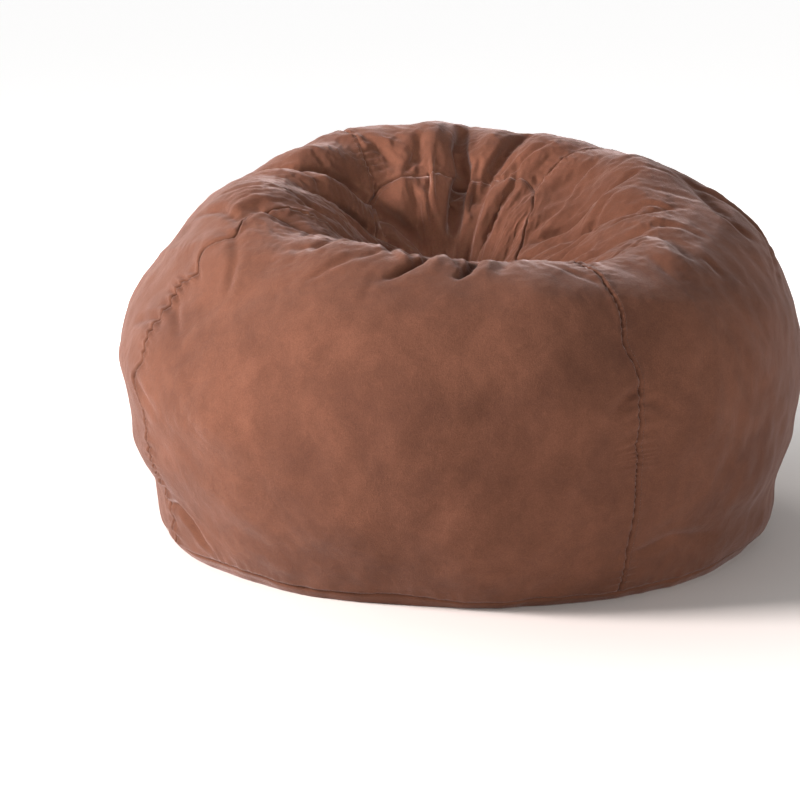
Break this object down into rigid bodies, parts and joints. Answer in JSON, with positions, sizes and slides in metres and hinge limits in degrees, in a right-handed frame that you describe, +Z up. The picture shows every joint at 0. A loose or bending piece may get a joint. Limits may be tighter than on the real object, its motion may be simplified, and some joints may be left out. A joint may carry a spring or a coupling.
{
  "type": "bean bag chair",
  "caption": "Large round bean bag chair: brown suede-cloth gores round a liner of loose beads, a deep seat hollow in the top and a hidden zip by the base.",
  "frame": {"origin": "middle of the flat round base, on the floor", "axes": "+Z up, +Y to the higher back of the rim, +X to the sitter's left as they face -Y"},
  "size_m": [1.3118, 1.3118, 0.7174],
  "materials": {
    "cover_suede": "matte",
    "liner_cloth": "matte",
    "foam_beads": "matte",
    "brown_thread": "satin",
    "zip_tape": "matte",
    "zip_coil": "satin",
    "zip_metal": "satin",
    "liner_zip_tape": "matte",
    "liner_zip_coil": "satin",
    "liner_zip_metal": "satin",
    "label_cloth": "satin"
  },
  "bodies": {
    "bag": {"bead_fill": "foam_beads", "care_label": "label_cloth", "cover_back_panel": "cover_suede", "cover_base_panel": "cover_suede", "cover_base_stitching": "brown_thread", "cover_cap_stitching": "brown_thread", "cover_front_panel": "cover_suede", "cover_gore_stitching": "brown_thread", "cover_left_panel": "cover_suede", "cover_right_panel": "cover_suede", "cover_top_cap": "cover_suede", "cover_zip_end_stops": "zip_metal", "cover_zip_lower_coil": "zip_coil", "cover_zip_lower_tape": "zip_tape", "cover_zip_upper_coil": "zip_coil", "cover_zip_upper_tape": "zip_tape", "liner_back_panel": "liner_cloth", "liner_base_panel": "liner_cloth", "liner_front_panel": "liner_cloth", "liner_left_panel": "liner_cloth", "liner_right_panel": "liner_cloth", "liner_top_cap": "liner_cloth", "liner_zip_end_stops": "liner_zip_metal", "liner_zip_lower_coil": "liner_zip_coil", "liner_zip_lower_tape": "liner_zip_tape", "liner_zip_upper_coil": "liner_zip_coil", "liner_zip_upper_tape": "liner_zip_tape"},
    "cover_slider": {"cover_zip_slider": "zip_metal"},
    "liner_slider": {"liner_zip_slider": "liner_zip_metal"}
  },
  "joints": [
    {"name": "cover_zip", "type": "hinge", "parent": "bag", "child": "cover_slider", "pos_m": [0, 0, 0.0327], "axis": [0, 0, 1], "range_deg": [0, 66]},
    {"name": "liner_zip", "type": "hinge", "parent": "bag", "child": "liner_slider", "pos_m": [0, 0, 0.0749], "axis": [0, 0, 1], "range_deg": [0, 66]}
  ]
}
